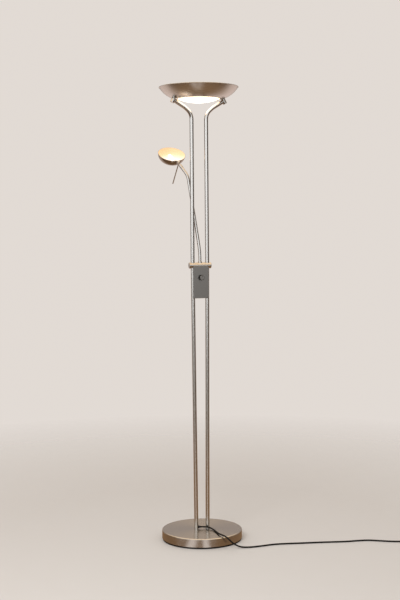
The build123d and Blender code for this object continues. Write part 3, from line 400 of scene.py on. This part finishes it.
def lit_glass(name, colour, value, stops, strength):
    """Glass lit from behind, whose glow changes with a number over its surface."""
    shader = Shader(name)
    surface = shader.surface.inputs
    mottle = shader.noise(shader.object_point(), 260.0, 2.0)
    ramp = [(0.2, tint(colour, 0.94)), (0.8, colour)]
    shader.join(shader.colours(mottle, ramp), surface["Base Color"])
    glow = value(shader) if value else mottle
    shader.join(shader.colours(glow, stops), surface["Emission Color"])
    shader.set(Roughness=0.28, Emission_Strength=strength)
    return shader


def lined(shader, centre, colour, roughness, glow=None):
    """Gives the side of a thin shell that faces a point inside it a painted finish, on which the
    light of a lamp at that point may be painted as a glow."""
    inner = shader.add("ShaderNodeBsdfPrincipled")
    inner.inputs["Roughness"].default_value = roughness
    grain = shader.noise(shader.object_point(), 60.0, 3.0)
    stops = [(0.3, tint(colour, 0.95)), (0.7, tint(colour, 1.03))]
    shader.join(shader.colours(grain, stops), inner.inputs["Base Color"])
    coords = shader.add("ShaderNodeTexCoord")
    inwards = shader.add("ShaderNodeVectorMath", operation="SUBTRACT")
    inwards.inputs[0].default_value = centre
    shader.join(coords.outputs["Object"], inwards.inputs[1])
    facing = shader.add("ShaderNodeVectorMath", operation="DOT_PRODUCT")
    shader.join(coords.outputs["Normal"], facing.inputs[0])
    shader.join(inwards.outputs[0], facing.inputs[1])
    # Painted light: the lining glows, brightest near the lamp, in place of the lamp's light falling
    # on it.
    if glow:
        away = shader.add("ShaderNodeVectorMath", operation="LENGTH")
        shader.join(inwards.outputs[0], away.inputs[0])
        share = shader.spread(away.outputs["Value"], 0.0, 1.0, 0.0, SHADE_REACH)
        shader.join(shader.colours(share, glow), inner.inputs["Emission Color"])
        inner.inputs["Emission Strength"].default_value = 1.0
    mix = shader.add("ShaderNodeMixShader")
    shader.join(shader.spread(facing.outputs["Value"], 0.0, 1.0, -0.001, 0.001), mix.inputs[0])
    shader.join(shader.surface.outputs[0], mix.inputs[1])
    shader.join(inner.outputs[0], mix.inputs[2])
    shader.join(mix.outputs[0], shader.output.inputs["Surface"])
    return shader


def middle(node):
    """The middle of a CAD node's box."""
    low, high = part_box(node)
    return (Vector(low) + Vector(high)) / 2


def glow_from_middle(shader):
    """The distance from the lamp's axis as a share of the glass dish's radius."""
    return shader.spread(shader.from_axis(), 0.0, 1.0, 0.0, GLASS_RADIUS)


bowl_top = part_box("uplight_bowl")[1][2]
bowl_centre = (0.0, 0.0, bowl_top)

materials = {
    "nickel": brushed_metal("nickel", NICKEL, 0.22, EVEN),
    "bowl_paint": lined(
        spun_metal("bowl_paint", NICKEL, 0.30), bowl_centre, (0.86, 0.84, 0.78), 0.35
    ),
    "shade_lacquer": lined(
        brushed_metal("shade_lacquer", (0.36, 0.32, 0.28), 0.20, EVEN),
        middle("reading_bulb"), (0.30, 0.19, 0.12), 0.35, PAINTED_SHADE_LIGHT,
    ),
    "black_steel": painted("black_steel", (0.008, 0.007, 0.006), 0.5),
    "iron": painted("iron", (0.05, 0.048, 0.046), 0.7, 240.0, 0.6),
    "zinc": brushed_metal("zinc", (0.62, 0.62, 0.60), 0.3, EVEN),
    "brass": brushed_metal("brass", (0.80, 0.60, 0.28), 0.25, (900, 900, 60)),
    "chrome": brushed_metal("chrome", (0.72, 0.70, 0.67), 0.14, EVEN),
    "black_plastic": painted("black_plastic", (0.007, 0.007, 0.007), 0.4),
    "white_plastic": painted("white_plastic", (0.72, 0.71, 0.67), 0.4),
    "ceramic": painted("ceramic", (0.78, 0.76, 0.70), 0.5, 500.0, 0.25),
    "rubber": painted("rubber", (0.014, 0.013, 0.013), 0.55, 1200.0, 0.3),
    "cord_sheath": painted("cord_sheath", (0.005, 0.005, 0.005), 0.5, 700.0, 0.25),
    "lead_sheath": painted("lead_sheath", (0.5, 0.5, 0.48), 0.45),
    "board": painted("board", (0.10, 0.16, 0.04), 0.35),
    "frosted_glass": lit_glass(
        "frosted_glass", (0.95, 0.93, 0.88), glow_from_middle, BOWL_GLOW, 2.4
    ),
    "lamp_glass": lit_glass("lamp_glass", (1.0, 0.97, 0.9), None, BULB_GLOW, 2.6),
}
spun_nickel = spun_metal("spun_nickel", tint(NICKEL, 0.86), 0.26)
pole_nickel = brushed_metal("pole_nickel", NICKEL, 0.20, UPRIGHT)
bar_nickel = brushed_metal("bar_nickel", NICKEL, 0.20, CROSSWISE)
plate_nickel = brushed_metal("plate_nickel", tint(NICKEL, 0.48), 0.3, UPRIGHT, 0.08)
for name in BLACKS:
    materials[name].set(Specular_IOR_Level=BLACK_SPECULAR)


def finish(piece, material):
    """Gives a piece one material."""
    piece.data.materials.clear()
    piece.data.materials.append(material)


for part in frame["record"]["subparts"]:
    finish(nodes[part["node"]], materials[part["material_slot"]].material)
finish(nodes["base_cover"], spun_nickel.material)
finish(nodes["switch_cover"], plate_nickel.material)
finish(nodes["knob_cap"], plate_nickel.material)
finish(nodes["bridge_bar"], bar_nickel.material)
for name in ("lower_tube_left", "lower_tube_right", "upper_tube_left", "upper_tube_right"):
    finish(nodes[name], pole_nickel.material)
finish(mains_cord, materials["cord_sheath"].material)


# ---------------------------------------------------------------- pieces with moulded detail
def lofted(name, sections, place, body, slot, replaced=()):
    """A closed solid through rings of points, one ring for each section, set in its place."""
    shape = bmesh.new()
    rings = [[shape.verts.new(place @ Vector(point)) for point in ring] for ring in sections]
    count = len(rings[0])
    for low, high in zip(rings, rings[1:]):
        for i in range(count):
            after = (i + 1) % count
            shape.faces.new((low[i], low[after], high[after], high[i]))
    shape.faces.new(rings[0][::-1])
    shape.faces.new(rings[-1])
    bmesh.ops.recalc_face_normals(shape, faces=shape.faces)
    mesh = bpy.data.meshes.new(name)
    shape.to_mesh(mesh)
    shape.free()
    piece = bpy.data.objects.new(name, mesh)
    scene.collection.objects.link(piece)
    mesh.shade_smooth()
    mesh.set_sharp_from_angle(angle=radians(35))
    finish(piece, materials[slot].material)
    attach(piece, body)
    if replaced:
        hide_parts(*replaced)
    return piece


def round_ring(radius, height, count, ribs, depth):
    """A ring of points about the z axis, with ribs around it."""
    points = []
    for i in range(count):
        angle = 2 * pi * i / count
        reach = radius - depth * (0.5 - 0.5 * cos(ribs * angle)) ** 2
        points.append((reach * cos(angle), reach * sin(angle), height))
    return points


def add_knob():
    """The dimmer knob with its ribbed grip, and the pointer on its face."""
    place = Matrix.Translation((0, KNOB_BACK, KNOB_HEIGHT)) @ Matrix.Rotation(radians(90), 4, "X")
    rings = [
        round_ring(radius, height, KNOB_RIBS * 6, KNOB_RIBS, KNOB_RIB_DEPTH * ribbed)
        for radius, height, ribbed in KNOB_OUTLINE
    ]
    lofted("knob_grip", rings, place, "dimmer_knob", "black_plastic", ["dimmer_knob"])
    inwards, down = POINTER_BEVEL
    sections = []
    for height, inset in ((POINTER_FOOT, 0.0), (POINTER_TOP - down, 0.0), (POINTER_TOP, inwards)):
        half = POINTER_HALF - inset
        low, high = POINTER_SPAN[0] + inset, POINTER_SPAN[1] - inset
        sections.append([
            (-half, low, height), (half, low, height), (half, high, height), (-half, high, height),
        ])
    lofted("knob_pointer", sections, place, "dimmer_knob", "black_plastic")


add_knob()


# ---------------------------------------------------------------- floor and light
def add_floor():
    """A plain pale floor that fades out around the lamp. Glossy rays see it as a painted reflection
    instead, a glow as brown as boards with two painted patches of daylight on it."""
    mesh = bpy.data.meshes.new("floor")
    size = FLOOR_END
    corners = [(-size, -size, 0), (size, -size, 0), (size, size, 0), (-size, size, 0)]
    mesh.from_pydata(corners, [], [(0, 1, 2, 3)])
    floor = bpy.data.objects.new("floor", mesh)
    floor.location.z = -FLOOR_DEPTH
    scene.collection.objects.link(floor)
    shader = painted("floor_paint", FLOOR_COLOUR, 0.6, 300.0, 0.03, 0.01)
    # Painted reflection: a glow that glossy rays see in place of the lit floor, with painted daylight
    # patches.
    mirrored = shader.add("ShaderNodeEmission")
    around = shader.add("ShaderNodeTexGradient", gradient_type="RADIAL")
    shader.join(shader.object_point(), around.inputs[0])
    stops = [(0.0, PAINTED_REFLECTED_FLOOR)]
    for start, full, fading, end in PAINTED_DAYLIGHT_PLACES:
        stops += [(start, PAINTED_REFLECTED_FLOOR), (full, PAINTED_DAYLIGHT)]
        stops += [(fading, PAINTED_DAYLIGHT), (end, PAINTED_REFLECTED_FLOOR)]
    shader.join(shader.colours(around.outputs["Fac"], stops), mirrored.inputs["Color"])
    path = shader.add("ShaderNodeLightPath")
    seen = shader.add("ShaderNodeMixShader")
    shader.join(path.outputs["Is Glossy Ray"], seen.inputs[0])
    shader.join(shader.surface.outputs[0], seen.inputs[1])
    shader.join(mirrored.outputs[0], seen.inputs[2])
    clear = shader.add("ShaderNodeBsdfTransparent")
    fade = shader.add("ShaderNodeMixShader")
    far = shader.spread(shader.from_axis(), 0.0, 1.0, FLOOR_FADE, FLOOR_END)
    shader.join(far, fade.inputs[0])
    shader.join(seen.outputs[0], fade.inputs[1])
    shader.join(clear.outputs[0], fade.inputs[2])
    shader.join(fade.outputs[0], shader.output.inputs["Surface"])
    finish(floor, shader.material)


def add_light():
    """A soft square light at the front left."""
    data = bpy.data.lights.new("front_left", "AREA")
    data.shape = "SQUARE"
    data.size = LIGHT_SIZE
    data.energy = LIGHT_POWER
    data.color = LIGHT_COLOUR
    light = bpy.data.objects.new("front_left", data)
    light.location = LIGHT_PLACE
    aim = Vector(LIGHT_TARGET) - Vector(LIGHT_PLACE)
    light.rotation_euler = aim.to_track_quat("-Z", "Y").to_euler()
    light.visible_glossy = False
    scene.collection.objects.link(light)


def add_world():
    """A plain pale background. What the metal mirrors is a room: pale behind the lamp, dark at its
    sides, with a wide window at its front left, and warm and bright above, where the uplight falls
    on the ceiling."""
    world = bpy.data.worlds.new("room")
    world.use_nodes = True
    tree = world.node_tree
    tree.nodes.clear()

    def ramp(value, stops):
        """A colour ramp over a number."""
        node = tree.nodes.new("ShaderNodeValToRGB")
        while len(node.color_ramp.elements) < len(stops):
            node.color_ramp.elements.new(0.5)
        for element, (place, colour) in zip(node.color_ramp.elements, stops):
            element.position = place
            element.color = (*colour, 1)
        tree.links.new(value, node.inputs["Fac"])
        return node.outputs["Color"]

    def along(direction):
        """How far a ray points along a direction, from 0 against it to 1 along it."""
        dot = tree.nodes.new("ShaderNodeVectorMath")
        dot.operation = "DOT_PRODUCT"
        dot.inputs[1].default_value = direction
        tree.links.new(coords.outputs["Generated"], dot.inputs[0])
        share = tree.nodes.new("ShaderNodeMath")
        share.operation = "MULTIPLY_ADD"
        share.inputs[1].default_value = 0.5
        share.inputs[2].default_value = 0.5
        tree.links.new(dot.outputs["Value"], share.inputs[0])
        return share.outputs[0]

    def mix(share, first, second):
        """The first colour, passing into the second as the share grows."""
        node = tree.nodes.new("ShaderNodeMix")
        node.data_type = "RGBA"
        tree.links.new(share, node.inputs["Factor"])
        tree.links.new(first, node.inputs["A"])
        tree.links.new(second, node.inputs["B"])
        return node.outputs["Result"]

    def plain(colour):
        """One colour."""
        node = tree.nodes.new("ShaderNodeRGB")
        node.outputs[0].default_value = (*colour, 1)
        return node.outputs[0]

    def level(turn):
        """The level direction at an angle to the left of the lamp's front."""
        return Matrix.Rotation(radians(-turn), 3, "Z") @ Vector((0, -1, 0))

    coords = tree.nodes.new("ShaderNodeTexCoord")
    height = along((0, 0, 1))
    towards_camera = along(level(CAMERA_TURN))
    walls = mix(
        ramp(height, EYE_LEVEL), ramp(towards_camera, LOWER_WALLS), ramp(towards_camera, UPPER_WALLS)
    )
    window = ramp(along(level(WINDOW_TURN)), WINDOW_REACH)
    walls = mix(window, walls, ramp(height, WINDOW_COLOURS))
    room = mix(ramp(height, CEILING_SHARES), walls, plain(CEILING_COLOUR))
    path = tree.nodes.new("ShaderNodeLightPath")
    background = tree.nodes.new("ShaderNodeBackground")
    colour = mix(path.outputs["Is Glossy Ray"], plain(BACKGROUND_COLOUR), room)
    tree.links.new(colour, background.inputs["Color"])
    output = tree.nodes.new("ShaderNodeOutputWorld")
    tree.links.new(background.outputs[0], output.inputs["Surface"])
    scene.world = world


add_floor()
add_world()
add_light()

scene.view_settings.view_transform = "Standard"

bpy.context.view_layer.update()
